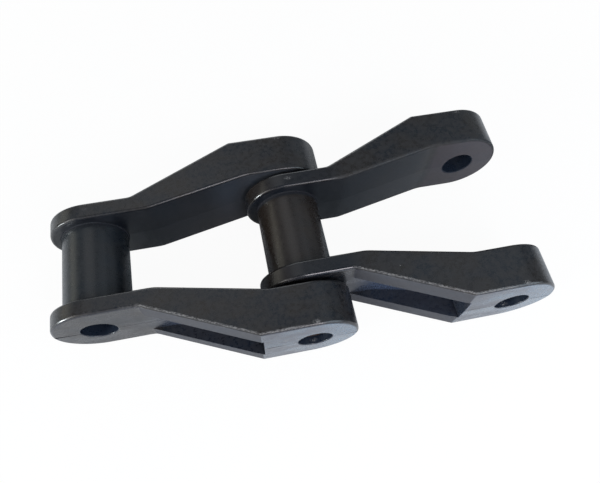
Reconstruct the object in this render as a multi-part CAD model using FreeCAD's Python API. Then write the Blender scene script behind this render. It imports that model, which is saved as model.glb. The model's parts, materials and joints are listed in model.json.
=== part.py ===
"""Two links of a moulded plastic scraper chain, joined by one headless pin.

Each link is a single moulding: a hollow barrel between two cranked sidebars.
The barrel end of one link sits inside the open end of the next, and the pin
runs through both.  Millimetres, +X along the chain, +Y along the pins, +Z up.
The origin is the middle of the first link's barrel bore.
"""
import FreeCAD
import Part

import math
import os

# Driving dimensions of one link, with widths and walls taken at the mould's parting line, half way up
PITCH = 66.27
BARREL_DIAMETER = 21.4
BARREL_LENGTH = 26.6
SIDEBAR_HEIGHT = 28.4
BARREL_END_THICKNESS = 6.3
OPEN_END_THICKNESS = 15.0
SIDE_PLAY = 0.7

# Lean of the sidebars' faces, in degrees, that lets each half of the mould draw off
DRAFT_ANGLE = 1.5

# Where the sidebars crank outwards, measured from the nearer hole axis
INNER_CRANK_FROM_BORE = 20.0
INNER_CRANK_FROM_PIN = 12.5
OUTER_CRANK_FROM_BORE = 15.0
OUTER_CRANK_FROM_PIN = 16.8
INNER_CRANK_RADIUS = 15.0
OUTER_HOLLOW_RADIUS = 5.0
OUTER_CORNER_RADIUS = 1.5

# Lightening pocket in the outer face of each crank
POCKET_HEIGHT = 14.0
POCKET_WALL = 5.5
POCKET_PAST_CRANK = 0.5

# Broken edges of the sidebars, and the flare where the barrel runs into them
EDGE_BREAK = 0.6
BARREL_FLARE = 0.5

# Pin and its holes
PIN_DIAMETER = 11.1
PIN_RUNNING_CLEARANCE = 0.1
PIN_RECESS = 2.5
PIN_CHAMFER = 1.0

LINK_NAMES = ("first_link", "second_link")

# Sizes that follow from the driving dimensions
end_radius = SIDEBAR_HEIGHT / 2
draft_lean = end_radius * math.tan(math.radians(DRAFT_ANGLE))
barrel_radius = BARREL_DIAMETER / 2
pin_radius = PIN_DIAMETER / 2
barrel_bore_radius = pin_radius + PIN_RUNNING_CLEARANCE
barrel_end_inner = BARREL_LENGTH / 2
barrel_end_outer = barrel_end_inner + BARREL_END_THICKNESS
open_end_inner = barrel_end_outer + SIDE_PLAY
open_end_outer = open_end_inner + OPEN_END_THICKNESS
inner_crank_end = PITCH - INNER_CRANK_FROM_PIN
outer_crank_end = PITCH - OUTER_CRANK_FROM_PIN
pin_length = 2 * (open_end_outer - PIN_RECESS)

ALONG_PIN = FreeCAD.Vector(0, 1, 0)
UP = FreeCAD.Vector(0, 0, 1)
CUT_MARGIN = 2.0
LEVEL_TOLERANCE = 1e-3


def rounded_face(corners):
    """A flat face in the XY plane from (x, y, corner radius) points in order."""
    points = [FreeCAD.Vector(x, y, 0) for x, y, _ in corners]
    count = len(points)
    starts = []
    ends = []
    edges = []
    for i, (_, _, radius) in enumerate(corners):
        before = (points[i - 1] - points[i]).normalize()
        after = (points[(i + 1) % count] - points[i]).normalize()
        half_angle = before.getAngle(after) / 2
        reach = radius / math.tan(half_angle)
        starts.append(points[i] + before * reach)
        ends.append(points[i] + after * reach)
        if radius > 0:
            middle_way = (before + after).normalize()
            centre = points[i] + middle_way * (radius / math.sin(half_angle))
            nearest = centre - middle_way * radius
            edges.append(Part.Arc(starts[i], nearest, ends[i]).toShape())
    for i in range(count):
        edges.append(Part.LineSegment(ends[i], starts[(i + 1) % count]).toShape())
    return Part.Face(Part.Wire(Part.__sortEdges__(edges)))


def sidebar_plan(lean):
    """The cranked bar seen from above, on the +Y side, where each face leans in by so much."""
    back = -end_radius
    front = PITCH + end_radius
    return rounded_face([
        (back, barrel_end_inner + lean, 0),
        (INNER_CRANK_FROM_BORE, barrel_end_inner + lean, INNER_CRANK_RADIUS),
        (inner_crank_end, open_end_inner + lean, INNER_CRANK_RADIUS),
        (front, open_end_inner + lean, 0),
        (front, open_end_outer - lean, 0),
        (outer_crank_end, open_end_outer - lean, OUTER_CORNER_RADIUS),
        (OUTER_CRANK_FROM_BORE, barrel_end_outer - lean, OUTER_HOLLOW_RADIUS),
        (back, barrel_end_outer - lean, 0),
    ])


def sidebar_side_view():
    """The round-ended outline of a sidebar seen along the pins, as a solid across the link."""
    top = end_radius
    corners = [
        FreeCAD.Vector(0, 0, top),
        FreeCAD.Vector(PITCH, 0, top),
        FreeCAD.Vector(PITCH, 0, -top),
        FreeCAD.Vector(0, 0, -top),
    ]
    nose = FreeCAD.Vector(PITCH + end_radius, 0, 0)
    tail = FreeCAD.Vector(-end_radius, 0, 0)
    outline = Part.Wire([
        Part.LineSegment(corners[0], corners[1]).toShape(),
        Part.Arc(corners[1], nose, corners[2]).toShape(),
        Part.LineSegment(corners[2], corners[3]).toShape(),
        Part.Arc(corners[3], tail, corners[0]).toShape(),
    ])
    return Part.Face(outline).extrude(ALONG_PIN * (open_end_outer + CUT_MARGIN))


def crank_angle():
    """How far the inner face of the crank turns from the chain's line."""
    spread = open_end_inner - barrel_end_inner
    return math.atan2(spread, inner_crank_end - INNER_CRANK_FROM_BORE)


def outer_hollow_reach():
    """Length of straight face that the hollow at the outer crank's start takes up."""
    spread = open_end_outer - barrel_end_outer
    turn = math.atan2(spread, outer_crank_end - OUTER_CRANK_FROM_BORE)
    return OUTER_HOLLOW_RADIUS * math.tan(turn / 2)


def pocket():
    """The space cut out of the crank's outer face: its floor keeps an even wall."""
    slope = math.tan(crank_angle())
    floor_rise = POCKET_WALL / math.cos(crank_angle())

    def floor_at(x):
        return barrel_end_inner + (x - INNER_CRANK_FROM_BORE) * slope + floor_rise

    mouth = OUTER_CRANK_FROM_BORE - outer_hollow_reach()
    end = outer_crank_end + POCKET_PAST_CRANK
    lift_off = INNER_CRANK_FROM_BORE + (BARREL_END_THICKNESS - floor_rise) / slope
    outside = open_end_outer + CUT_MARGIN
    plan = rounded_face([
        (mouth, barrel_end_outer, 0),
        (lift_off, barrel_end_outer, INNER_CRANK_RADIUS),
        (end, floor_at(end), 0),
        (end, outside, 0),
        (mouth, outside, 0),
    ])
    plan.translate(UP * (-POCKET_HEIGHT / 2))
    return plan.extrude(UP * POCKET_HEIGHT)


def is_rim(edge):
    """True for the edges that run along a sidebar, apart from its parting line."""
    box = edge.BoundBox
    off_parting_line = max(box.ZMax, -box.ZMin) > LEVEL_TOLERANCE
    return box.XLength > LEVEL_TOLERANCE and off_parting_line


def sidebar():
    """One cranked sidebar on the +Y side, edges broken and pocket cut, holes still to come."""
    at_parting = sidebar_plan(0).OuterWire
    at_top = sidebar_plan(draft_lean).OuterWire
    at_top.translate(UP * end_radius)
    upper_half = Part.makeLoft([at_parting, at_top], True, True)
    lower_half = upper_half.mirror(FreeCAD.Vector(0, 0, 0), UP)
    bar = upper_half.fuse(lower_half).common(sidebar_side_view())
    rim = [edge for edge in bar.Edges if is_rim(edge)]
    return bar.makeChamfer(EDGE_BREAK, rim).cut(pocket())


def cylinder_along_pin(radius, length, x):
    """A cylinder centred on the chain's middle plane, on the hole axis at x."""
    foot = FreeCAD.Vector(x, -length / 2, 0)
    return Part.makeCylinder(radius, length, foot, ALONG_PIN)


def barrel():
    """The barrel before boring, widening a little where it runs into the two sidebars."""
    straight = barrel_end_inner - BARREL_FLARE
    inside_wall = barrel_end_inner + draft_lean
    root_radius = barrel_radius + BARREL_FLARE + draft_lean
    outline = [
        (0, -inside_wall),
        (root_radius, -inside_wall),
        (barrel_radius, -straight),
        (barrel_radius, straight),
        (root_radius, inside_wall),
        (0, inside_wall),
        (0, -inside_wall),
    ]
    half_section = Part.Face(Part.makePolygon([FreeCAD.Vector(r, y, 0) for r, y in outline]))
    return half_section.revolve(FreeCAD.Vector(0, 0, 0), ALONG_PIN, 360)


def link():
    """One whole moulding: barrel, two sidebars, bore and pin holes."""
    far_bar = sidebar()
    near_bar = far_bar.mirror(FreeCAD.Vector(0, 0, 0), ALONG_PIN)
    body = far_bar.fuse([near_bar, barrel()]).removeSplitter()
    through = 2 * (open_end_outer + CUT_MARGIN)
    bore = cylinder_along_pin(barrel_bore_radius, through, 0)
    pin_holes = cylinder_along_pin(pin_radius, through, PITCH)
    return body.cut(bore).cut(pin_holes)


def pin():
    """Headless pin with chamfered ends, centred on the joint."""
    shaft = cylinder_along_pin(pin_radius, pin_length, PITCH)
    rims = [edge for edge in shaft.Edges if isinstance(edge.Curve, Part.Circle)]
    return shaft.makeChamfer(PIN_CHAMFER, rims)


def main():
    os.makedirs("parts", exist_ok=True)
    moulding = link()
    pieces = {"link_pin": pin()}
    for number, name in enumerate(LINK_NAMES):
        placed = moulding.copy()
        placed.translate(FreeCAD.Vector(PITCH * number, 0, 0))
        pieces[name] = placed
    for name, shape in pieces.items():
        solid = shape.Solids[0]
        print(name, "solids", len(shape.Solids), "valid", shape.isValid(), "volume", round(solid.Volume, 1))
        solid.exportStep(f"parts/{name}.step")


main()
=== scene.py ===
# %% [markdown]
# # Two links of a moulded scraper chain
#
# The object is a short length of conveyor chain: two identical links, each one piece of charcoal black
# plastic, and the headless steel pin that hinges them.  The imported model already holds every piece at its
# real size, so this lesson never moves one.  It rounds the moulded edges, cuts the seam that the mould
# leaves, and gives each surface the finish that the real one has.

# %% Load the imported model
import json
import math
from types import SimpleNamespace

import bmesh
import bpy
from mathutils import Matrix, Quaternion, Vector, noise


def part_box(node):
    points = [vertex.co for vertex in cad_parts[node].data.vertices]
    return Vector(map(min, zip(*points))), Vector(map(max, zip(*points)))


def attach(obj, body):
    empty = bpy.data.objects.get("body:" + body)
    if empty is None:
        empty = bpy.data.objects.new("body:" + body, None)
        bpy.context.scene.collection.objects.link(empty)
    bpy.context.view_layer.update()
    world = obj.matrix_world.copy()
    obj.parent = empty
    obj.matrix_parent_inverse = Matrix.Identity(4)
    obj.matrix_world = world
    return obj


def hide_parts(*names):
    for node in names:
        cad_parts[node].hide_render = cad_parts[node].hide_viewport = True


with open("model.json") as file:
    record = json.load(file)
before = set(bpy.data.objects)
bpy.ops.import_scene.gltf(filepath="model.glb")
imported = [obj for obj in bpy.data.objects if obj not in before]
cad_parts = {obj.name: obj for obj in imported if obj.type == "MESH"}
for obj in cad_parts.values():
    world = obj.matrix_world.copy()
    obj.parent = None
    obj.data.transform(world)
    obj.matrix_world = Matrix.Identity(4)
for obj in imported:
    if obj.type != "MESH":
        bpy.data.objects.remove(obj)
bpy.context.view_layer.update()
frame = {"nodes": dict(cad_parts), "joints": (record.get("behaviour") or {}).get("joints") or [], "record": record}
print("nodes:", ", ".join(sorted(frame["nodes"])))

# %% [markdown]
# ## Sizes that everything else is measured from
#
# A link repeats every pitch, which is the distance between its barrel bore and its pin holes.  The hinge of
# the model sits one pitch along, so its place gives the pitch, and the mounts give the hole sizes and the
# width of a barrel end.  Reading them from the model keeps the looks and the construction the same size.

# %% Sizes from the frame
MM = 0.001
pitch = frame["joints"][0]["pos_m"][0]
mounts = {mount["name"]: mount for mount in frame["record"]["mounts"]}
bore = mounts["barrel_bore"]["dims"]
bore_radius = bore["r_mm"] * MM
barrel_end_outer = bore["length_mm"] * MM / 2
link_low, link_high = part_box("first_link")
link_half_width = link_high.y
print(f"pitch {pitch / MM:.2f} mm, link {(link_high - link_low).x / MM:.1f} mm long")

# %% [markdown]
# ## The camera
#
# The photograph looks down on the chain from the front left, from about as near as a hand holds a camera.
# A camera is set by where it stands, what it looks at, how far it leans and its angle of view.  Keeping
# those four as plain values, and letting a track rotation do the rest, is easier to read than a matrix.

# %% Camera
CAMERA_PLACE = Vector((47.925, -78.924, 163.559)) * MM
CAMERA_TARGET = Vector((68.283, -0.437, 0.0)) * MM
CAMERA_LEAN = math.radians(3.485)
LENS = 31.755
NEAREST_SEEN = 1 * MM


def in_scene(name, data):
    """Makes an object from its data and puts it into the scene."""
    made = bpy.data.objects.new(name, data)
    bpy.context.scene.collection.objects.link(made)
    return made


camera_data = bpy.data.cameras.new("photo_camera")
camera_data.sensor_fit = "HORIZONTAL"
camera_data.lens = LENS
camera_data.clip_start = NEAREST_SEEN
camera = in_scene("photo_camera", camera_data)
camera.location = CAMERA_PLACE
camera.rotation_mode = "QUATERNION"
upright = (CAMERA_TARGET - CAMERA_PLACE).to_track_quat("-Z", "Y")
camera.rotation_quaternion = upright @ Quaternion((0, 0, 1), CAMERA_LEAN)
bpy.context.scene.camera = camera
print(f"camera {(CAMERA_TARGET - CAMERA_PLACE).length / MM:.0f} mm from its target")

# %% [markdown]
# ## Rounding the edges of a moulding
#
# Plastic never fills a sharp corner, so every edge of a real link is a small round that catches a line of
# light.  The model only breaks these edges with flat chamfers.  The copy made here is first cleaned: doubled
# corners are welded and flat areas lose the lines that cross them, so that only true edges are left.  A
# bevel on those then turns each chamfer into a round.  A Bevel modifier could do it too, but the rims, the
# holes and the pockets each need another width, which is simpler in mesh code.

# %% Clean copies of the CAD meshes
WELD_DISTANCE = 0.001 * MM
FLAT_ANGLE = math.radians(0.3)
EDGE_ANGLE = math.radians(30)


def clean_copy(node, axis_x):
    """A node's mesh with welded corners, whole flat faces and its hole axis at the origin."""
    surface = bmesh.new()
    surface.from_mesh(frame["nodes"][node].data)
    surface.faces.layers.float.new("rounding")
    bmesh.ops.translate(surface, verts=surface.verts, vec=(-axis_x, 0, 0))
    bmesh.ops.remove_doubles(surface, verts=surface.verts, dist=WELD_DISTANCE)
    bmesh.ops.dissolve_limit(
        surface, angle_limit=FLAT_ANGLE, verts=surface.verts, edges=surface.edges
    )
    return surface


def hard_edges(surface, test):
    """The edges of a surface that turn sharply and pass a test."""
    found = []
    for edge in surface.edges:
        turn = edge.calc_face_angle_signed(0.0) if edge.is_manifold else 0.0
        if abs(turn) > EDGE_ANGLE and test(edge, turn):
            found.append(edge)
    return found


sample = clean_copy("first_link", 0.0)
print(f"a cleaned link has {len(sample.faces)} faces and {len(sample.edges)} edges")

# %% [markdown]
# A few small tests sort the hard edges by where they are.  A positive turn is an outer edge, which a round
# takes material from, and a negative one is a corner that stays as it is.

# %% Which edge is which
SAME_PLACE = 0.1 * MM
HOLE_RIM_WIDTH = 0.5 * MM
POCKET_HALF_HEIGHT = 7.0 * MM
POCKET_TIP = 0.6 * MM


def from_axis(vertex, axis_x):
    """How far a corner is from the hole axis at axis_x."""
    return math.hypot(vertex.co.x - axis_x, vertex.co.z)


def in_hole(vertex):
    """True on the wall or rim of the barrel bore or a pin hole."""
    return min(from_axis(vertex, 0.0), from_axis(vertex, pitch)) < bore_radius + HOLE_RIM_WIDTH


def at_pocket_height(vertex):
    """True at the height of the pocket in a crank's outer face."""
    return abs(vertex.co.z) < POCKET_HALF_HEIGHT + SAME_PLACE and 0 < vertex.co.x < pitch


def is_hole_rim(edge, turn):
    """The rims of the barrel bore and the two pin holes."""
    return turn > 0 and all(in_hole(v) for v in edge.verts)


def is_pocket_rim(edge, turn):
    """The outer edges of a crank's pocket, apart from its thin start."""
    clear_of_tip = all(abs(v.co.y) > barrel_end_outer + POCKET_TIP for v in edge.verts)
    in_pocket = all(at_pocket_height(v) and not in_hole(v) for v in edge.verts)
    return turn > 0 and in_pocket and clear_of_tip


def is_sidebar_rim(edge, turn):
    """Both lines of the broken edge that runs round each sidebar."""
    return turn > 0 and not any(at_pocket_height(v) or in_hole(v) for v in edge.verts)


for test in (is_hole_rim, is_pocket_rim, is_sidebar_rim):
    print(f"{test.__name__}: {len(hard_edges(sample, test))} edges")
sample.free()

# %% [markdown]
# The barrel of the model flares where it meets the sidebars, which is a stand-in for the fillet there.  On
# the real links that fillet is too small to see, so the two rings of the flare are drawn in towards the
# corner.  Both only slide along the surfaces that they lie on, so the barrel and the wall keep their places.

# %% Slim roots
BARREL_RADIUS = 10.7 * MM
BARREL_END_INNER = 13.3 * MM
ROOT_REACH = 13.0 * MM
ROOT_FILLET = 0.25 * MM
WALL_LEAN = math.tan(math.radians(1.5))


def slim_roots(surface):
    """Draws the flare at both ends of the barrel in to a small fillet."""
    for vertex in surface.verts:
        radius = from_axis(vertex, 0.0)
        beside_wall = abs(abs(vertex.co.y) - BARREL_END_INNER) < 2 * ROOT_FILLET + SAME_PLACE
        on_barrel = abs(radius - BARREL_RADIUS) < SAME_PLACE / 2
        on_wall = BARREL_RADIUS + ROOT_FILLET < radius < ROOT_REACH
        if not beside_wall or not (on_barrel or on_wall):
            continue
        if on_wall:
            vertex.co.xz = vertex.co.xz * (BARREL_RADIUS + ROOT_FILLET) / radius
        wall = BARREL_END_INNER + abs(vertex.co.z) * WALL_LEAN
        short_of_wall = ROOT_FILLET if on_barrel else 0.0
        vertex.co.y = math.copysign(wall - short_of_wall, vertex.co.y)


print(f"root fillets of {ROOT_FILLET / MM:.2f} mm")

# %% [markdown]
# Each kind of edge has its own width.  The faces that a bevel makes are marked in a face attribute called
# rounding, because the rounds are where the plastic is rubbed, and the material will read that mark.

# %% Rounding
ROUNDINGS = (
    # which edges, width, steps
    (is_pocket_rim, 0.20 * MM, 2),
    (is_hole_rim, 0.35 * MM, 3),
    (is_sidebar_rim, 0.40 * MM, 3),
)
STRIP_WIDTH = 0.6 * MM
STRIP_SHARE = 0.7


def mark_between_rounds(surface, mark):
    """Marks the narrow strips that are left between two rounds."""
    strips = []
    for face in surface.faces:
        beside = 0.0
        for edge in face.edges:
            if any(other[mark] > 0 for other in edge.link_faces if other is not face):
                beside += edge.calc_length()
        is_narrow = face.calc_area() < STRIP_WIDTH * face.calc_perimeter() / 2
        if face[mark] == 0 and is_narrow and beside > STRIP_SHARE * face.calc_perimeter():
            strips.append(face)
    for face in strips:
        face[mark] = 1.0


def round_edges(surface):
    """Bevels each kind of hard edge to its own width and marks the new faces."""
    mark = surface.faces.layers.float["rounding"]
    for test, width, steps in ROUNDINGS:
        made = bmesh.ops.bevel(
            surface, geom=hard_edges(surface, test), offset=width, offset_type="OFFSET", segments=steps,
            profile=0.5, affect="EDGES", clamp_overlap=False, loop_slide=True,
        )
        for face in made["faces"]:
            face[mark] = 1.0
    mark_between_rounds(surface, mark)


print("kinds of rounded edge:", len(ROUNDINGS))

# %% [markdown]
# ## The mould seam
#
# The two halves of the mould met half way up the link.  They never meet perfectly, so the real part shows a
# hair line there: a step of a fifth of a millimetre that fades and comes back.  A dark stripe in the
# material could fake it, but a step in the mesh also catches light from other sides.  Three cuts round the
# link make room for it, and the middle row of corners is pushed in by an amount that wanders along the line.

# %% Where the seam runs
FACING = 0.5
END_WALL_FACING = 0.9
POCKET_START = 0.2 * pitch
POCKET_END = 50.2 * MM


def on_seam(vertex):
    """True on the mid-height line of a sidebar's ends and outer face, outside the holes and pockets."""
    if abs(vertex.co.z) > WELD_DISTANCE or in_hole(vertex):
        return False
    outward = vertex.normal.y * math.copysign(1, vertex.co.y)
    on_barrel = from_axis(vertex, 0.0) < ROOT_REACH and abs(vertex.co.y) < BARREL_END_INNER
    if outward < -FACING or on_barrel:
        return False
    on_end_wall = vertex.normal.x < -END_WALL_FACING and vertex.co.x > pitch / 2
    beside_pocket = POCKET_START < vertex.co.x < POCKET_END
    return not (beside_pocket and (outward > FACING or on_end_wall))


print(f"no seam at the pocket, {POCKET_START / MM:.1f} to {POCKET_END / MM:.1f} mm")

# %% Mould seam
SEAM_DEPTH = 0.22 * MM
TAIL_SEAM_DEPTH = 0.34 * MM
SEAM_LEDGE = 0.03 * MM
SEAM_FLANK = 0.70 * MM
SEAM_STEP = 3.0 * MM
SEAM_WANDER = 9.0 * MM
WANDER_MIDDLE = 0.45
WANDER_SWING = 0.8
WANDER_LEAST = 0.15


def seam_depth(place):
    """How deep the seam is at a place: it comes and goes, and it is deepest behind the barrel bore."""
    wander = WANDER_MIDDLE + WANDER_SWING * noise.noise(place / SEAM_WANDER)
    behind_bore = -place.x - bore_radius
    return max(SEAM_DEPTH * min(max(wander, WANDER_LEAST), 1.0), min(behind_bore, TAIL_SEAM_DEPTH))


def cut_seam(surface):
    """A fine ledge round the moulding at mid height."""
    for level in (-SEAM_LEDGE, 0.0, SEAM_FLANK):
        everything = surface.verts[:] + surface.edges[:] + surface.faces[:]
        bmesh.ops.bisect_plane(
            surface, geom=everything, dist=WELD_DISTANCE / 10, plane_co=(0, 0, level), plane_no=(0, 0, 1)
        )
    along = [
        edge for edge in surface.edges
        if all(abs(v.co.z) < WELD_DISTANCE for v in edge.verts) and edge.calc_length() > SEAM_STEP
    ]
    for edge in along:
        pieces = math.ceil(edge.calc_length() / SEAM_STEP)
        bmesh.ops.subdivide_edges(surface, edges=[edge], cuts=pieces - 1)
    surface.normal_update()
    moves = [(v, v.normal * -seam_depth(v.co)) for v in surface.verts if on_seam(v)]
    for vertex, move in moves:
        vertex.co += move
    bmesh.ops.dissolve_degenerate(surface, dist=WELD_DISTANCE, edges=surface.edges)


print(f"seam up to {TAIL_SEAM_DEPTH / MM:.2f} mm deep")

# %% [markdown]
# ## Corner normals
#
# Smooth shading averages the normals at each corner, and a large flat face next to a small round would then
# look bent.  Blender's Weighted Normal modifier mends that on simple meshes, but the flats here have holes
# and many corners, and it left some of them tilted.  So each corner is given its normal directly: a flat
# keeps its own, and a round takes the flat's normal where the two meet.

# %% Corner normals
FLAT_AREA = 50 * MM * MM
SMOOTH_ANGLE = math.radians(50)


def corner_normals(surface):
    """A normal for every corner: flat faces keep their own, so that only the rounds turn the light."""
    surface.normal_update()
    cos_limit = math.cos(SMOOTH_ANGLE)
    normals = []
    for face in surface.faces:
        for loop in face.loops:
            near = [f for f in loop.vert.link_faces if f.normal.dot(face.normal) > cos_limit]
            flats = [f for f in near if f.calc_area() > FLAT_AREA]
            if face in flats:
                normals.append(face.normal.copy())
                continue
            total = Vector()
            for f in flats or near:
                total += f.normal * f.calc_area()
            normals.append(total.normalized())
    return normals


def finished_mesh(surface, name):
    """A smooth mesh made from a surface, which is then let go."""
    mesh = bpy.data.meshes.new(name)
    surface.to_mesh(mesh)
    mesh.shade_smooth()
    mesh.normals_split_custom_set(corner_normals(surface))
    surface.free()
    return mesh


print(f"faces over {FLAT_AREA / MM ** 2:.0f} square mm count as flats")

# %% [markdown]
# ## The two mouldings
#
# Both links come from the same mould, so one function makes them.  Each object's origin goes to its own
# barrel bore: the material can then use plain object coordinates, and a mark that every link has, such as
# the scuffs over the pin, falls in the same place on both.  A face attribute called own_marks tells the
# links apart, so that their clouds and flecks differ.

# %% Make the two mouldings
def moulding(node, name, axis_x, body):
    """A rounded link in place of a CAD node, with its barrel bore at its own origin."""
    surface = clean_copy(node, axis_x)
    slim_roots(surface)
    round_edges(surface)
    cut_seam(surface)
    mesh = finished_mesh(surface, name)
    own_marks = mesh.attributes.new("own_marks", "FLOAT", "FACE")
    own_marks.data.foreach_set("value", [axis_x] * len(mesh.polygons))
    piece = in_scene(name, mesh)
    piece.location.x = axis_x
    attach(piece, body)
    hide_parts(node)
    return piece


first_moulding = moulding("first_link", "first_link_moulding", 0.0, "first_link")
second_moulding = moulding("second_link", "second_link_moulding", pitch, "second_link")
print("mouldings:", len(first_moulding.data.polygons), "faces each")

# %% [markdown]
# ## The pin
#
# A headless pin is a length of bar, faced and chamfered on a lathe, and driven in until it lies a little
# below the sidebar.  A lathe turns a profile about an axis, and the mesh is made the same way: one outline
# from end to end, turned about the hinge.  A cylinder with a bevel would do, but the outline says plainly
# where the chamfers begin and end, and how much their corners are eased.

# %% The pin's outline
CHAMFER = 1.0 * MM
CORNER_EASE = 0.25 * MM
pin_low, pin_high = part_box("link_pin")
pin_radius = (pin_high.x - pin_low.x) / 2


def eased(before, corner, after):
    """Three points that take the sharpness off a corner of the outline."""
    start = corner + (before - corner).normalized() * CORNER_EASE
    end = corner + (after - corner).normalized() * CORNER_EASE
    return [start, (start + 2 * corner + end) / 4, end]


def pin_outline():
    """Points (radius, place along the pin) from one end's rim to the other's."""
    shaft = Vector((pin_radius, 0))
    chamfer_start = Vector((pin_radius, pin_high.y - CHAMFER))
    chamfer_end = Vector((pin_radius - CHAMFER, pin_high.y))
    middle = Vector((0, pin_high.y))
    far_end = eased(shaft, chamfer_start, chamfer_end) + eased(chamfer_start, chamfer_end, middle)
    near_end = [Vector((radius, -place)) for radius, place in reversed(far_end)]
    return near_end + far_end


print(f"pin {2 * pin_radius / MM:.1f} mm across, {len(pin_outline())} points along its outline")

# %% Turn the pin
PIN_SIDES = 64


def turned_pin():
    """The pin as a closed mesh: rings of the outline, and a flat face at each end."""
    surface = bmesh.new()
    mark = surface.faces.layers.float.new("rounding")
    turns = [math.tau * side / PIN_SIDES for side in range(PIN_SIDES)]
    rings = []
    for radius, place in pin_outline():
        corners = [(radius * math.cos(turn), place, -radius * math.sin(turn)) for turn in turns]
        rings.append([surface.verts.new(corner) for corner in corners])
    for ring, after in zip(rings, rings[1:]):
        for side in range(PIN_SIDES):
            following = (side + 1) % PIN_SIDES
            face = surface.faces.new((ring[side], ring[following], after[following], after[side]))
            is_shaft = after[side].co.y - ring[side].co.y > CHAMFER
            face[mark] = 0.0 if is_shaft else 1.0
    surface.faces.new(reversed(rings[0]))
    surface.faces.new(rings[-1])
    bmesh.ops.recalc_face_normals(surface, faces=surface.faces)
    return finished_mesh(surface, "turned_pin")


pin = in_scene("turned_pin", turned_pin())
pin.location.x = pitch
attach(pin, "first_link")
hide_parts("link_pin")
print(f"turned pin: {len(pin.data.polygons)} faces")

# %% [markdown]
# ## Building materials from nodes
#
# A material is a small network, net for short, and writing one link at a time hides what it does.  These
# helpers let the cells below read as sums: a value is a number or another node's output, and each helper
# returns the output that the next step takes.

# %% Node helpers
def new_material(name):
    """A new material, its network and its Principled shader."""
    material = bpy.data.materials.new(name)
    material.use_nodes = True
    return material, material.node_tree, material.node_tree.nodes["Principled BSDF"]


def node(net, kind, **options):
    """Adds a shader node and sets its options by name."""
    made = net.nodes.new(kind)
    for option, value in options.items():
        setattr(made, option, value)
    return made


def feed(net, socket, value):
    """Links an input to another node's output, or sets it where the value is a number or colour."""
    if isinstance(value, bpy.types.NodeSocket):
        net.links.new(value, socket)
    else:
        socket.default_value = value


def fed_node(net, kind, values, sockets=None, **options):
    """Adds a node, feeds its inputs from the first on, or the sockets named, and returns its outputs."""
    made = node(net, kind, **options)
    for socket, value in zip(sockets or range(len(values)), values):
        feed(net, made.inputs[socket], value)
    return made.outputs


print("nodes can be made and fed")

# %% Single steps
# where the Mix node keeps its factor and its two ends, as numbers and as colours
NUMBER_ENDS = (0, 2, 3)
COLOUR_ENDS = (0, 6, 7)


def maths(net, operation, *values):
    """One step of arithmetic."""
    return fed_node(net, "ShaderNodeMath", values, operation=operation)["Value"]


def ramp(net, value, off, on):
    """0 on the off side and 1 on the on side, with a soft change between; off may be the larger."""
    values = (value, off, on)
    return fed_node(net, "ShaderNodeMapRange", values, interpolation_type="SMOOTHSTEP")["Result"]


def blend(net, factor, low, high):
    """A number that goes from low to high with a factor."""
    return fed_node(net, "ShaderNodeMix", (factor, low, high), NUMBER_ENDS, data_type="FLOAT")[0]


def tinted(net, factor, under, over):
    """A colour that goes from under to over with a factor."""
    return fed_node(net, "ShaderNodeMix", (factor, under, over), COLOUR_ENDS, data_type="RGBA")[2]


def mixed_shaders(net, factor, under, over):
    """A shader that goes from under to over with a factor."""
    return fed_node(net, "ShaderNodeMixShader", (factor, under, over))["Shader"]


def bumped(net, height, distance):
    """A normal that follows a height, where a height of 1 stands a distance proud."""
    return fed_node(net, "ShaderNodeBump", (distance, height), ("Distance", "Height"))["Normal"]


print("single steps are ready")

# %% Patterns and masks
def cloud(net, place, size, detail=2.0):
    """Noise between about 0.25 and 0.75 whose lumps are about one size across."""
    sockets = ("Vector", "Scale", "Detail")
    return fed_node(net, "ShaderNodeTexNoise", (place, 1 / size, detail), sockets)["Fac"]


def patches(net, place, size, off, on, detail=2.0):
    """A cloud sharpened into patches: 0 where it is below off, 1 where it is above on."""
    return ramp(net, cloud(net, place, size, detail), off, on)


def stretched(net, place, x=1.0, y=1.0, z=1.0):
    """A place scaled along each axis, for marks that run one way."""
    return fed_node(net, "ShaderNodeVectorMath", (place, (x, y, z)), operation="MULTIPLY")["Vector"]


def vector_length(net, vector):
    """How long a vector is."""
    return fed_node(net, "ShaderNodeVectorMath", (vector,), operation="LENGTH")["Value"]


def split(net, vector):
    """The x, y and z of a vector."""
    parts = fed_node(net, "ShaderNodeSeparateXYZ", (vector,))
    return [parts[axis] for axis in "XYZ"]


def all_of(net, first, *others):
    """A mask that is on where every one of these is."""
    for mask in others:
        first = maths(net, "MULTIPLY", first, mask)
    return first


def any_of(net, first, *others):
    """A mask that is on where at least one of these is."""
    for mask in others:
        first = maths(net, "MAXIMUM", first, mask)
    return first


print("patterns and masks are ready")

# %% [markdown]
# ## Effects that several materials share
#
# Grain, rubbed edges and stray flecks are found on more than one of the plastic, the steel and the paper,
# only at other sizes.  Each is a node group: built once, with its sizes as named inputs, and placed in every
# material that needs it.  The groups put out only masks and values.  What those do to colour and gloss is
# for the material to say.

# %% Node group helpers
def new_group(name, inputs, outputs):
    """An empty node group with a vector called Place, number inputs and value outputs."""
    net = bpy.data.node_groups.new(name, "ShaderNodeTree")
    net.interface.new_socket("Place", in_out="INPUT", socket_type="NodeSocketVector")
    for label, value in inputs.items():
        socket = net.interface.new_socket(label, in_out="INPUT", socket_type="NodeSocketFloat")
        socket.default_value = value
    for label in outputs:
        net.interface.new_socket(label, in_out="OUTPUT", socket_type="NodeSocketFloat")
    return net, node(net, "NodeGroupInput").outputs, node(net, "NodeGroupOutput").inputs


def scaled_place(net, place, size):
    """A place measured in units of a size that is an input."""
    values = (place, maths(net, "DIVIDE", 1.0, size))
    return fed_node(net, "ShaderNodeVectorMath", values, (0, "Scale"), operation="SCALE")["Vector"]


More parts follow.
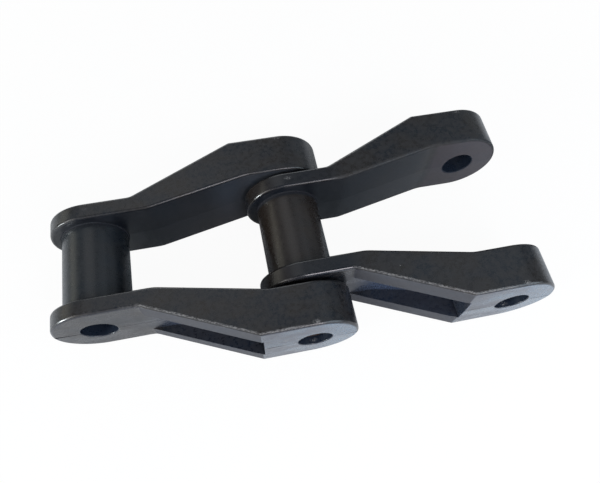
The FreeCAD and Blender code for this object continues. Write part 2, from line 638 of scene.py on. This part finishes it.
def place_group(net, group, place, **sizes):
    """Puts a group into a material and returns its outputs."""
    values = (place, *sizes.values())
    return fed_node(net, "ShaderNodeGroup", values, ("Place", *sizes), node_tree=group)


print("groups can be made and placed")

# %% Fine grain
MOTTLE_SIZE = 3.5
MOTTLE_IN_HEIGHT = 0.4


def grain_group():
    """Fine pebbled grain: a height for bump, and the slower unevenness under it."""
    net, given, out = new_group("fine_grain", {"Size": 0.4 * MM}, ("Height", "Mottle"))
    place = scaled_place(net, given["Place"], given["Size"])
    pebbles = cloud(net, place, 1.0)
    mottle = cloud(net, place, MOTTLE_SIZE, detail=3.0)
    feed(net, out["Height"], blend(net, MOTTLE_IN_HEIGHT, pebbles, mottle))
    feed(net, out["Mottle"], ramp(net, mottle, 0.30, 0.70))
    return net


fine_grain = grain_group()
print(fine_grain.name, "has", len(fine_grain.nodes), "nodes")

# %% Rubbed edges
SCRATCH_SIZE = 0.12


def rubbed_group():
    """Where rounds are rubbed: the mesh's rounding mark, broken into patches."""
    net, given, out = new_group("rubbed_edges", {"Patch": 4 * MM}, ("Mask",))
    mark = node(net, "ShaderNodeAttribute", attribute_name="rounding")
    place = scaled_place(net, given["Place"], given["Patch"])
    rubbed = patches(net, place, 1.0, off=0.42, on=0.62)
    scratches = patches(net, place, SCRATCH_SIZE, off=0.40, on=0.60)
    feed(net, out["Mask"], all_of(net, rubbed, scratches, mark.outputs["Fac"]))
    return net


rubbed_edges = rubbed_group()
print(rubbed_edges.name, "has", len(rubbed_edges.nodes), "nodes")

# %% Stray flecks
SMALLEST_FLECK = 0.4


def fleck_group():
    """Sparse specks: a few of the cells of a lattice hold one, of an uneven size."""
    inputs = {"Spacing": 4 * MM, "Share": 0.1, "Radius": 0.06}
    net, given, out = new_group("stray_flecks", inputs, ("Mask",))
    place = scaled_place(net, given["Place"], given["Spacing"])
    cells = fed_node(net, "ShaderNodeTexVoronoi", (place, 1.0), ("Vector", "Scale"))
    draws = fed_node(net, "ShaderNodeSeparateColor", (cells["Color"],))
    holds_one = maths(net, "LESS_THAN", draws["Red"], given["Share"])
    radius = maths(net, "MULTIPLY", given["Radius"], blend(net, draws["Green"], SMALLEST_FLECK, 1.0))
    inside = maths(net, "LESS_THAN", cells["Distance"], radius)
    feed(net, out["Mask"], all_of(net, holds_one, inside))
    return net


stray_flecks = fleck_group()
print(stray_flecks.name, "has", len(stray_flecks.nodes), "nodes")

# %% [markdown]
# ## Charcoal plastic
#
# The links are a hard plastic, dyed charcoal and moulded with a satin skin.  Such a skin is not one colour:
# where the melt met and slowed it is a little duller or bluer, and its grain breaks up reflections.  Use
# adds the rest.  The wide outer faces are rubbed to smeared streaks, the upper outer edges of the cranks
# are scraped pale, dust lies in the pockets, and dirt sits in the seam.  Light and shade are painted in as
# well: a blue and violet reflection on the outer faces and slopes, blue light in the pockets' dust, a
# highlight in the pale line along the cranks' edges, and shade in the seam, the barrel's roots, the holes,
# the inner faces beside the barrel and the second link's crown.  An image could be painted for all this,
# but masks worked out from a place stay sharp near by and fit both links.
#
# First the material has to know where it is on a link, and which way the surface faces there.  The two links
# have not worn alike, so it also has to know which of them it is on.

# %% Where on a link
def ellipse(net, x, y, centre, reach):
    """How far a place is from a centre, where 1 is the edge of an ellipse."""
    dx = maths(net, "DIVIDE", maths(net, "SUBTRACT", x, centre[0]), reach[0])
    dy = maths(net, "DIVIDE", maths(net, "SUBTRACT", y, centre[1]), reach[1])
    squares = maths(net, "ADD", maths(net, "MULTIPLY", dx, dx), maths(net, "MULTIPLY", dy, dy))
    return maths(net, "SQRT", squares)


def link_places(net):
    """Values that say where on its link a place is, and which way it faces."""
    coordinates = node(net, "ShaderNodeTexCoord").outputs
    x, y, z = split(net, coordinates["Object"])
    facing_x, facing_y, facing_z = split(net, coordinates["Normal"])
    own_marks = node(net, "ShaderNodeAttribute", attribute_name="own_marks").outputs
    own_place = (coordinates["Object"], own_marks["Vector"])
    from_bore = ellipse(net, x, z, (0, 0), (1, 1))
    from_pin = ellipse(net, x, z, (pitch, 0), (1, 1))
    return SimpleNamespace(
        net=net,
        x=x,
        y=y,
        place=fed_node(net, "ShaderNodeVectorMath", own_place, operation="ADD")["Vector"],
        second=maths(net, "DIVIDE", own_marks["Fac"], pitch),
        across=maths(net, "ABSOLUTE", y),
        off_middle=maths(net, "ABSOLUTE", z),
        outward=maths(net, "MULTIPLY", facing_y, maths(net, "SIGN", y)),
        along=facing_x,
        up=facing_z,
        from_bore=from_bore,
        from_hole=maths(net, "MINIMUM", from_bore, from_pin),
        rounding=node(net, "ShaderNodeAttribute", attribute_name="rounding").outputs["Fac"],
    )


print(f"a link runs from its bore at 0 to its pin holes at {pitch / MM:.2f} mm")

# %% [markdown]
# Most masks are a stretch of a link and a range of directions, with soft ends.  So one helper makes them
# all: each limit is named after a value from the cell above, and says where the mask is off and where on.

# %% Regions of a link
INNER_CRANK_FROM_PIN = 12.5 * MM
inner_crank_end = pitch - INNER_CRANK_FROM_PIN


def mm(*lengths):
    """Lengths in millimetres."""
    return [each * MM for each in lengths]


def around(place, *offsets):
    """Limits that lie so many millimetres past a place."""
    return [place + offset * MM for offset in offsets]


def region(at, **limits):
    """A mask from soft limits, each (off, on), or (off, on, on, off) for a stretch with two ends."""
    masks = []
    for name, limit in limits.items():
        value = getattr(at, name)
        masks.append(ramp(at.net, value, *limit[:2]))
        if len(limit) > 2:
            masks.append(ramp(at.net, value, *reversed(limit[2:])))
    return all_of(at.net, *masks)


def per_link(at, first, second):
    """One number on the first link and another on the second."""
    return blend(at.net, at.second, first, second)


print(f"inner faces crank until {inner_crank_end / MM:.1f} mm")

# %% Masks of wear
SCUFF_REACH = mm(1.7, 0.9)
SCUFF_FADE = (1.0, 0.2)
FACES_OUT = (0.90, 0.98)
OPEN_END_SCUFF = (pitch, link_half_width - 1.5 * MM)
BARREL_END_SCUFF = (1 * MM, barrel_end_outer - 2.8 * MM)


def crown_scuffs(net, at):
    """Small pale spots on the crowns over the holes, where the melt closed round the mould's core pins."""
    from_open_end = ellipse(net, at.x, at.across, OPEN_END_SCUFF, SCUFF_REACH)
    from_barrel_end = ellipse(net, at.x, at.y, BARREL_END_SCUFF, SCUFF_REACH)
    at_barrel_end = ramp(net, from_barrel_end, *SCUFF_FADE)
    at_barrel_end = all_of(net, at_barrel_end, per_link(at, first=0.2, second=1.0))
    near = any_of(net, ramp(net, from_open_end, *SCUFF_FADE), at_barrel_end)
    specks = patches(net, at.place, 0.45 * MM, off=0.44, on=0.62, detail=4.0)
    return all_of(net, near, specks, region(at, up=(0.3, 0.6)))


def scraped_trim_and_highlight(net, at):
    """The fine pale line along the upper outer edge of a crank: scraped, and painted pale as the edge's highlight
    too.
    """
    upper_edge = region(at, x=mm(14, 16, 58, 66), up=(0.55, 0.75), outward=(0.05, 0.2))
    rough = patches(net, stretched(net, at.place, x=0.5), 0.35 * MM, off=0.36, on=0.66, detail=4.0)
    return all_of(net, at.rounding, upper_edge, rough)


def wide_rubbed_sheen(net, at):
    """The widest outer faces, which slide along the trough's walls, most of all towards the nose; they get a real
    glossy coat and a painted blue reflection.
    """
    wide = region(at, outward=FACES_OUT, across=(barrel_end_outer + 1 * MM, link_half_width - 2 * MM))
    towards_nose = region(at, x=(0.7 * pitch, 1.2 * pitch))
    return all_of(net, wide, blend(net, towards_nose, 0.5, 1.0))


def rubbed_inside(net, at):
    """The open end's inner faces, rubbed by the next link's barrel end, with the slope on the first link."""
    from_slope = region(at, x=around(inner_crank_end, -16, -6))
    from_open_end = region(at, x=around(inner_crank_end, 0, 3))
    reach = per_link(at, from_slope, from_open_end)
    return all_of(net, reach, region(at, outward=(-0.94, -0.97)))


print(f"scuffs reach {SCUFF_REACH[0] / MM:.1f} mm along a link")

# %% Masks of painted shade and polish
FACES_IN = (-0.85, -0.97)


def barrel_skin(at):
    """The barrel, which the sprocket's teeth keep smooth."""
    return region(at, from_bore=around(BARREL_RADIUS, 0.5, 0.3), across=around(BARREL_END_INNER, 0.8, 0))


def shaded(at):
    """The sidebars' inner faces beside the barrel, darkened to a navy as painted shade."""
    return region(at, outward=FACES_IN, x=around(inner_crank_end, 0, -6))


def shaded_crown(net, at):
    """The crown of the second link's barrel end, where the first link's sidebars shade it, painted darker as
    shade.
    """
    crown = region(at, across=around(BARREL_END_INNER, 0, 0.4), x=mm(22, 12), up=(0.5, 0.8))
    return all_of(net, at.second, crown)


def brown_tail(net, at):
    """A brown cast on the crown of the second link's barrel end."""
    return all_of(net, at.second, region(at, x=mm(0, -9), up=(0.1, 0.6)))


def bright_rim(net, at):
    """The outer rim of the second link's barrel end, polished by turning in the first link."""
    return all_of(net, at.second, at.rounding, region(at, outward=(0.02, 0.1), x=mm(-2, 1, 14, 18)))


def dull_rim(net, at):
    """The second link's inner rims past the barrel end, which nothing has polished."""
    return all_of(net, at.second, at.rounding, region(at, outward=(-0.05, -0.2), x=mm(14, 20)))


print(f"sheltered faces end {inner_crank_end / MM:.1f} mm along the link")

# %% Masks of dust, dirt and painted shade
SEAM_WIDTH = 0.22 * MM
TAIL_SEAM_WIDTH = 0.40 * MM


def pocket_dust_and_light(net, at):
    """A film of pale dust in the pockets of the cranks, with painted blue light in its colour, thinner on the end
    wall and in the first link.
    """
    floor_and_walls = region(
        at,
        off_middle=around(POCKET_HALF_HEIGHT, 0.1, -0.2),
        x=(POCKET_START, 2 * POCKET_START, *around(POCKET_END, -0.1, 0.1)),
        outward=(-0.5, -0.3),
    )
    off_end_wall = blend(net, region(at, along=(-0.9, -0.7)), 0.25, 1.0)
    return all_of(net, floor_and_walls, off_end_wall, per_link(at, first=0.60, second=1.0))


def root_shade(net, at, barrel):
    """The corner where the barrel runs into a sidebar, darkened as painted shade and made dull."""
    return all_of(net, barrel, region(at, across=around(BARREL_END_INNER, -1.4, -0.4)))


def seam_dirt_and_shade(net, at):
    """Dirt and painted shade in the mould seam, wide at the tail and a hair line elsewhere."""
    tail = region(at, x=mm(-4, -6))
    from_seam = maths(net, "DIVIDE", at.off_middle, blend(net, tail, SEAM_WIDTH, TAIL_SEAM_WIDTH))
    in_seam = ramp(net, from_seam, 1.0, 0.3)
    return all_of(net, in_seam, region(at, outward=(-0.3, 0.3)), blend(net, tail, 0.45, 1.0))


print(f"dirt reaches {TAIL_SEAM_WIDTH / MM:.2f} mm from the seam at the tail")

# %% [markdown]
# Next come the patterns in the skin itself.  Grain and mottle come from the shared group.  Flow clouds, draw
# lines and smears are noise that is drawn out along the link, which is the way that the melt ran and the way
# that a link slides.

# %% Skin of the moulding
GRAIN_SIZE = 0.40 * MM
FLOW_SIZE = 7 * MM
DRAW_LINE_SIZE = 0.45 * MM
SMEAR_SIZE = 5 * MM


def moulded_skin(net, at):
    """The patterns that moulding and sliding leave in the skin."""
    grain = place_group(net, fine_grain, at.place, Size=GRAIN_SIZE)
    smears = patches(net, stretched(net, at.place, x=0.5), SMEAR_SIZE, off=0.35, on=0.65, detail=4.0)
    at_nose = region(at, x=(0.95 * pitch, 1.15 * pitch))
    return SimpleNamespace(
        height=grain["Height"],
        mottle=grain["Mottle"],
        flow=patches(net, stretched(net, at.place, x=0.6), FLOW_SIZE, off=0.38, on=0.62, detail=3.0),
        draw_lines=cloud(net, stretched(net, at.place, x=0.06), DRAW_LINE_SIZE),
        smears=all_of(net, smears, blend(net, at_nose, 1.0, 0.2)),
    )


def link_marks(net, at):
    """The masks that more than one of colour, gloss and bump use."""
    rubbed = place_group(net, rubbed_edges, at.place, Patch=5 * MM)["Mask"]
    flecks = place_group(net, stray_flecks, at.place, Spacing=5 * MM, Share=0.16, Radius=0.05)["Mask"]
    barrel = barrel_skin(at)
    return SimpleNamespace(
        barrel=barrel,
        corner_shade=root_shade(net, at, barrel),
        inner=shaded(at),
        seam=seam_dirt_and_shade(net, at),
        scuffs=crown_scuffs(net, at),
        trim=scraped_trim_and_highlight(net, at),
        wide=wide_rubbed_sheen(net, at),
        slope=region(at, outward=(0.80, 0.86, 0.94, 0.97)),
        rubbed=all_of(net, rubbed, region(at, outward=(-0.2, 0.2))),
        flecks=all_of(net, flecks, region(at, from_hole=around(ROOT_REACH, -1, 0))),
    )


print(f"grain {GRAIN_SIZE / MM:.1f} mm, smears {SMEAR_SIZE / MM:.0f} mm")

# %% [markdown]
# Colour is laid on like coats of paint: each coat is a mask, a strength and a colour, and it covers what
# lies under it by as much as the mask says.  A table shows the order of the coats at a glance, and the order
# matters, because painted shade and dirt lie over the painted reflection, and flecks lie over everything.

# %% Colour of the plastic
CHARCOAL_WARM = (0.0100, 0.0078, 0.0066, 1)
CHARCOAL_COOL = (0.0032, 0.0056, 0.0094, 1)
CHARCOAL_PALE = (0.0205, 0.0197, 0.0200, 1)
# painted shade: a dark navy for the inner faces beside the barrel and the second link's crown
SHADE_NAVY = (0.0016, 0.0034, 0.0070, 1)
BARREL_BROWN = (0.0180, 0.0125, 0.0090, 1)
BARREL_COOL = (0.0110, 0.0150, 0.0190, 1)
# painted shade: a dark navy for the walls of the holes
HOLE_SHADE = (0.008, 0.014, 0.026, 1)
# painted reflections of cool light, on the wide outer faces and the slopes
PAINTED_BLUE_SHEEN = (0.038, 0.075, 0.115, 1)
PAINTED_VIOLET_SHEEN = (0.058, 0.070, 0.108, 1)
FIRST_INNER_HAZE = (0.040, 0.050, 0.066, 1)
SECOND_INNER_HAZE = (0.065, 0.046, 0.057, 1)
# pale dust, with painted blue light
DUST_AND_BLUE_LIGHT = (0.040, 0.057, 0.096, 1)
# painted shade, with dirt in the seam too: darkens the barrel's roots and the mould seam
SHADE_AND_DIRT = (0.0016, 0.0030, 0.0070, 1)
SCRAPED = (0.30, 0.29, 0.28, 1)
FLECK = (0.45, 0.43, 0.40, 1)


def painted_outer_sheen(net, skin, marks):
    """The mask of the rubbed streaks on the wide outer faces, and its colour, a painted blue and violet reflection
    of cool light.
    """
    mottled = blend(net, skin.mottle, 0.45, 0.75)
    streaked = maths(net, "ADD", mottled, blend(net, skin.draw_lines, -0.25, 0.45))
    mask = all_of(net, marks.wide, streaked, blend(net, skin.smears, 1.2, 0.7))
    return mask, tinted(net, skin.smears, PAINTED_BLUE_SHEEN, PAINTED_VIOLET_SHEEN)


def plastic_colour(net, at, skin, marks):
    """Coats of colour, each over those before it, from the dyed plastic up to the flecks."""
    pebbles = ramp(net, skin.height, 0.42, 0.58)
    pebbles = all_of(net, pebbles, blend(net, marks.barrel, 0.62, 0.20))
    # the walls of the holes, painted dark navy as shade
    hole_shade = region(at, from_hole=around(bore_radius, 0.3, 0.1))
    rubbed_in = all_of(net, rubbed_inside(net, at), per_link(at, first=0.34, second=0.27))
    sheen_share, sheen_tint = painted_outer_sheen(net, skin, marks)
    coats = (
        # mask, strength, colour
        (skin.mottle, 0.45, CHARCOAL_PALE),
        (pebbles, 1.0, CHARCOAL_PALE),
        (marks.barrel, 0.6, tinted(net, at.second, BARREL_COOL, BARREL_BROWN)),
        # painted shade on the second link's crown
        (shaded_crown(net, at), 0.7, SHADE_NAVY),
        (brown_tail(net, at), 0.6, BARREL_BROWN),
        # painted shade on the inner faces beside the barrel
        (marks.inner, 0.7, SHADE_NAVY),
        # painted shade in the holes
        (hole_shade, 0.8, HOLE_SHADE),
        (rubbed_in, 1.0, tinted(net, at.second, FIRST_INNER_HAZE, SECOND_INNER_HAZE)),
        # dust, with painted blue light, in the pockets
        (pocket_dust_and_light(net, at), 0.90, DUST_AND_BLUE_LIGHT),
        # painted reflection: a faint violet sheen on the slopes
        (marks.slope, 0.15, PAINTED_VIOLET_SHEEN),
        # painted reflection: a blue sheen over the rubbed streaks of the wide outer faces
        (sheen_share, 1.0, sheen_tint),
        # painted shade where the barrel meets the sidebars
        (marks.corner_shade, 0.9, SHADE_AND_DIRT),
        # dirt and painted shade in the mould seam
        (marks.seam, 0.9, SHADE_AND_DIRT),
        (marks.rubbed, 0.10, SCRAPED),
        (marks.scuffs, 0.50, SCRAPED),
        # partly painted highlight: the pale line along the crank's upper outer edge
        (marks.trim, 0.40, SCRAPED),
        (marks.flecks, 0.8, FLECK),
    )
    colour = tinted(net, skin.flow, CHARCOAL_WARM, CHARCOAL_COOL)
    for mask, strength, over in coats:
        colour = tinted(net, all_of(net, mask, strength), colour, over)
    return colour


print("palest of the dyed plastic:", CHARCOAL_PALE[:3])

# %% [markdown]
# Gloss is built the same way.  The skin's own roughness wanders a little, and then each mark brings its own:
# rounds and polished rims are smoother than the faces, and slopes, scuffs and the barrel's roots are duller.

# %% Gloss of the plastic
def plastic_roughness(net, at, skin, marks):
    """The skin's own roughness, and the finish of each mark over it."""
    smeared = blend(net, skin.smears, -0.05, 0.07)
    smeared = maths(net, "ADD", smeared, blend(net, skin.draw_lines, -0.08, 0.08))
    smeared = all_of(net, region(at, outward=FACES_OUT), smeared)
    lined = blend(net, skin.draw_lines, -0.04, 0.04)
    tail_end = region(at, x=mm(-2, -8))
    beside_barrel = region(at, from_bore=mm(18, 14))
    on_fillet = region(at, from_bore=around(BARREL_RADIUS, 0.02, 0.06))
    finishes = (
        # mask, roughness
        (region(at, outward=FACES_IN), 0.44),
        (all_of(net, marks.inner, beside_barrel), 0.28),
        (marks.slope, 0.55),
        (at.rounding, blend(net, tail_end, 0.28, 0.22)),
        (dull_rim(net, at), 0.80),
        (bright_rim(net, at), 0.16),
        (any_of(net, marks.scuffs, marks.trim, marks.flecks, marks.seam), 0.62),
        (marks.corner_shade, 0.60),
        (all_of(net, marks.corner_shade, on_fillet), 0.95),
    )
    rough = blend(net, skin.mottle, 0.26, 0.34)
    rough = maths(net, "ADD", maths(net, "ADD", rough, lined), smeared)
    for mask, roughness in finishes:
        rough = blend(net, mask, rough, roughness)
    return rough


print("gloss follows the same masks as colour")

# %% Plastic
GRAIN_HEIGHT = 0.016 * MM
GRAIN_LEFT_ON_SMOOTH = 0.04
RUBBED_COAT = 0.5
COAT_ROUGHNESS = 0.25
PLASTIC_IOR = 1.5


def charcoal_plastic():
    """Satin moulded plastic: its skin, the marks on it, and the colour, gloss and bump they give."""
    material, net, shader = new_material("charcoal_plastic")
    at = link_places(net)
    skin = moulded_skin(net, at)
    marks = link_marks(net, at)
    feed(net, shader.inputs["Base Color"], plastic_colour(net, at, skin, marks))
    feed(net, shader.inputs["Roughness"], plastic_roughness(net, at, skin, marks))
    feed(net, shader.inputs["Coat Weight"], all_of(net, marks.wide, RUBBED_COAT))
    shader.inputs["Coat Roughness"].default_value = COAT_ROUGHNESS
    shader.inputs["IOR"].default_value = PLASTIC_IOR
    smooth = any_of(net, marks.barrel, at.rounding)
    height = all_of(net, skin.height, blend(net, smooth, 1.0, GRAIN_LEFT_ON_SMOOTH))
    feed(net, shader.inputs["Normal"], bumped(net, height, GRAIN_HEIGHT))
    return material


plastic = charcoal_plastic()
for piece in (first_moulding, second_moulding):
    piece.data.materials.append(plastic)
print("plastic:", len(plastic.node_tree.nodes), "nodes")

# %% [markdown]
# ## Tarnished steel
#
# Little of the pin shows, only its two ends, deep in their holes.  The real ones look dark and brownish, so the
# steel is given a colour far darker than bare steel, with brown tarnish.  The faced end keeps the rings of the
# lathe tool, which are a wave of the distance from the axis, and the tarnish is brown clouds that are rougher
# than the metal.

# %% Steel
STEEL = (0.045, 0.040, 0.042, 1)
TARNISH = (0.030, 0.011, 0.007, 1)
TARNISH_SIZE = 2.5 * MM
TOOL_FEED = 0.22 * MM
RING_HEIGHT = 0.012 * MM
GRAIN_OVER_RINGS = 2.0


def tarnished_steel():
    """Turned steel with tool rings, brown tarnish and a brighter chamfer."""
    material, net, shader = new_material("tarnished_steel")
    place = node(net, "ShaderNodeTexCoord").outputs["Object"]
    from_axis_line = vector_length(net, stretched(net, place, y=0.0))
    rings = maths(net, "SINE", maths(net, "MULTIPLY", from_axis_line, math.tau / TOOL_FEED))

    grain = place_group(net, fine_grain, place, Size=0.3 * MM)
    rubbed = place_group(net, rubbed_edges, place, Patch=3 * MM)["Mask"]
    spots = place_group(net, stray_flecks, place, Spacing=1.5 * MM, Share=0.35, Radius=0.3)["Mask"]
    clouds = patches(net, place, TARNISH_SIZE, off=0.38, on=0.60, detail=4.0)
    tarnish = all_of(net, any_of(net, clouds, spots), maths(net, "SUBTRACT", 1.0, rubbed))

    feed(net, shader.inputs["Base Color"], tinted(net, tarnish, STEEL, TARNISH))
    feed(net, shader.inputs["Metallic"], blend(net, tarnish, 1.0, 0.4))
    feed(net, shader.inputs["Roughness"], blend(net, tarnish, 0.42, 0.75))
    height = maths(net, "ADD", rings, maths(net, "MULTIPLY", grain["Height"], GRAIN_OVER_RINGS))
    feed(net, shader.inputs["Normal"], bumped(net, height, RING_HEIGHT))
    return material


pin.data.materials.append(tarnished_steel())
print("steel on", pin.name)

# %% [markdown]
# ## A white floor that keeps the shadow
#
# The chain lies on plain white paper.  To the camera the paper should be about white, yet more light would
# wash out the plastic.  So the paper is lit plainly, and Light Path mixes some white glow over it for the
# rays that look at it: most for the camera, and all of it further from the chain, where no shadow falls.
# The plastic's reflections get a small part, apart from the paper between the bars, which the chain shades.
# What is left of the lit paper keeps the soft shadow.  The paper lies a hair below the chain, because two
# faces in one plane flicker, and a camera below it looks through it at the chain's underside.

# %% Paper
PAPER = (0.93, 0.93, 0.93, 1)
PAPER_FIBRES = (0.915, 0.915, 0.91, 1)
FIBRE_SIZE = 0.6 * MM
PAPER_ROUGHNESS = 0.9
CAMERA_GLOW = 0.95
GLOSSY_GLOW = 0.12
SHADOW_REACH = (0.10, 0.30)
BETWEEN_BARS = (20 * MM, 36 * MM)


def white_share(net, rays, to_camera, to_gloss):
    """How much white a ray sees: one share for the camera and glass, another for reflections."""
    looked_at = any_of(net, rays["Is Camera Ray"], rays["Is Transmission Ray"])
    mirrored = all_of(net, rays["Is Glossy Ray"], to_gloss)
    return maths(net, "ADD", all_of(net, looked_at, to_camera), mirrored)


def white_paper():
    """Matt paper with faint fibres, glowing for the rays that look at it, and clear from below."""
    material, net, shader = new_material("white_paper")
    place = node(net, "ShaderNodeTexCoord").outputs["Object"]
    grain = place_group(net, fine_grain, place, Size=FIBRE_SIZE)
    feed(net, shader.inputs["Base Color"], tinted(net, grain["Mottle"], PAPER, PAPER_FIBRES))
    shader.inputs["Roughness"].default_value = PAPER_ROUGHNESS
    shader.inputs["Specular IOR Level"].default_value = 0.0

    rays = node(net, "ShaderNodeLightPath").outputs
    away = ramp(net, vector_length(net, place), *SHADOW_REACH)
    off_middle = maths(net, "ABSOLUTE", split(net, place)[1])
    to_gloss = all_of(net, ramp(net, off_middle, *BETWEEN_BARS), GLOSSY_GLOW)
    share = white_share(net, rays, blend(net, away, CAMERA_GLOW, 1.0), to_gloss)
    glow = node(net, "ShaderNodeEmission").outputs["Emission"]
    paper = mixed_shaders(net, share, shader.outputs["BSDF"], glow)

    behind = node(net, "ShaderNodeNewGeometry").outputs["Backfacing"]
    clear = node(net, "ShaderNodeBsdfTransparent").outputs["BSDF"]
    seen = mixed_shaders(net, all_of(net, behind, rays["Is Camera Ray"]), paper, clear)
    feed(net, net.nodes["Material Output"].inputs["Surface"], seen)
    return material


paper = white_paper()
print("paper:", len(paper.node_tree.nodes), "nodes")

# %% Floor
FLOOR_SIZE = 6.0
FLOOR_GAP = 0.02 * MM
half = FLOOR_SIZE / 2
floor_level = link_low.z - FLOOR_GAP
floor_mesh = bpy.data.meshes.new("floor")
floor_mesh.from_pydata(
    [(-half, -half, 0), (half, -half, 0), (half, half, 0), (-half, half, 0)], [], [(0, 1, 2, 3)]
)
floor_mesh.materials.append(paper)
floor = in_scene("floor", floor_mesh)
floor.location = (pitch, 0, floor_level)
print(f"floor {FLOOR_SIZE:.0f} m wide at {floor_level / MM:.2f} mm")

# %% [markdown]
# ## Soft studio light
#
# Black satin plastic shows its lamps more than its colour: a face is as bright as what it mirrors.  So soft
# boxes stand all round, at a plain level.  Those at the front light the near faces and the paper that these
# mirror, a low strip on the left draws the bright lines on the round ends, and those behind and above lift
# the far edges and the tops.  Each lamp is given by its direction and distance from the hinge, as one would
# walk round a table with it.

# %% Lamps
LAMPS = (
    # name, azimuth, elevation, distance (m), width, height (m), power (W), tint
    ("front_strip", 285, 34, 0.50, 0.12, 0.34, 1.36, (0.98, 0.94, 1.0)),
    ("front_right_box", 320, 30, 0.36, 0.26, 0.22, 0.62, (0.74, 0.88, 1.0)),
    ("front_left_box", 240, 32, 0.70, 0.30, 0.30, 0.45, (0.95, 0.92, 1.0)),
    ("left_box", 203, 28, 0.75, 0.35, 0.35, 1.22, (0.97, 0.94, 0.90)),
    ("low_left_strip", 202, 9, 0.60, 0.16, 0.14, 2.75, (0.91, 0.98, 1.0)),
    ("left_back_box", 156, 18, 0.80, 0.40, 0.30, 0.36, (1.0, 0.97, 0.80)),
    ("back_box", 96, 22, 0.90, 0.50, 0.30, 1.20, (0.95, 0.98, 1.0)),
    ("right_back_box", 42, 22, 0.90, 0.45, 0.30, 0.08, (0.95, 1.0, 1.0)),
    ("top_back_box", 115, 62, 0.90, 0.45, 0.50, 0.41, (0.97, 0.96, 0.95)),
    ("top_right_box", 28, 57, 0.90, 0.45, 0.50, 0.28, (0.85, 0.93, 1.0)),
)


def lamp(name, azimuth, elevation, distance, width, height, power, tint):
    """A soft box aimed at the hinge from an azimuth (from +X towards +Y) and an elevation."""
    data = bpy.data.lights.new(name, "AREA")
    data.shape = "RECTANGLE"
    data.size = width
    data.size_y = height
    data.energy = power
    data.color = tint
    made = in_scene(name, data)
    turn = math.radians(azimuth)
    rise = math.radians(elevation)
    towards = Vector((math.cos(turn) * math.cos(rise), math.sin(turn) * math.cos(rise), math.sin(rise)))
    made.location = Vector((pitch, 0, 0)) + towards * distance
    made.rotation_mode = "QUATERNION"
    made.rotation_quaternion = towards.to_track_quat("Z", "Y")
    made.visible_camera = False


for settings in LAMPS:
    lamp(*settings)
print("lamps:", len(LAMPS))

# %% [markdown]
# The rest of the room is a dim, even world.  Where the camera looks past the paper it sees white, by the
# same Light Path mix as on the floor.

# %% World
ROOM_LIGHT = 0.20
ROOM_TINT = (0.68, 0.83, 1.0, 1)
WHITE = (1, 1, 1, 1)
world = bpy.data.worlds.new("studio")
bpy.context.scene.world = world
world.use_nodes = True
net = world.node_tree
room = net.nodes["Background"]
room.inputs["Color"].default_value = ROOM_TINT
room.inputs["Strength"].default_value = ROOM_LIGHT
white = fed_node(net, "ShaderNodeBackground", (WHITE,), ("Color",))["Background"]
rays = node(net, "ShaderNodeLightPath").outputs
share = white_share(net, rays, 1.0, GLOSSY_GLOW)
seen = mixed_shaders(net, share, room.outputs["Background"], white)
feed(net, net.nodes["World Output"].inputs["Surface"], seen)
print(f"room light {ROOM_LIGHT}")

# %% [markdown]
# ## Size and view
#
# The rounds and the seam only take material away, and the roots are drawn inwards, so the dressed chain must
# fit the model's box.  The cell below only sets the Standard view transform.

# %% Finish
bpy.context.scene.view_settings.view_transform = "Standard"
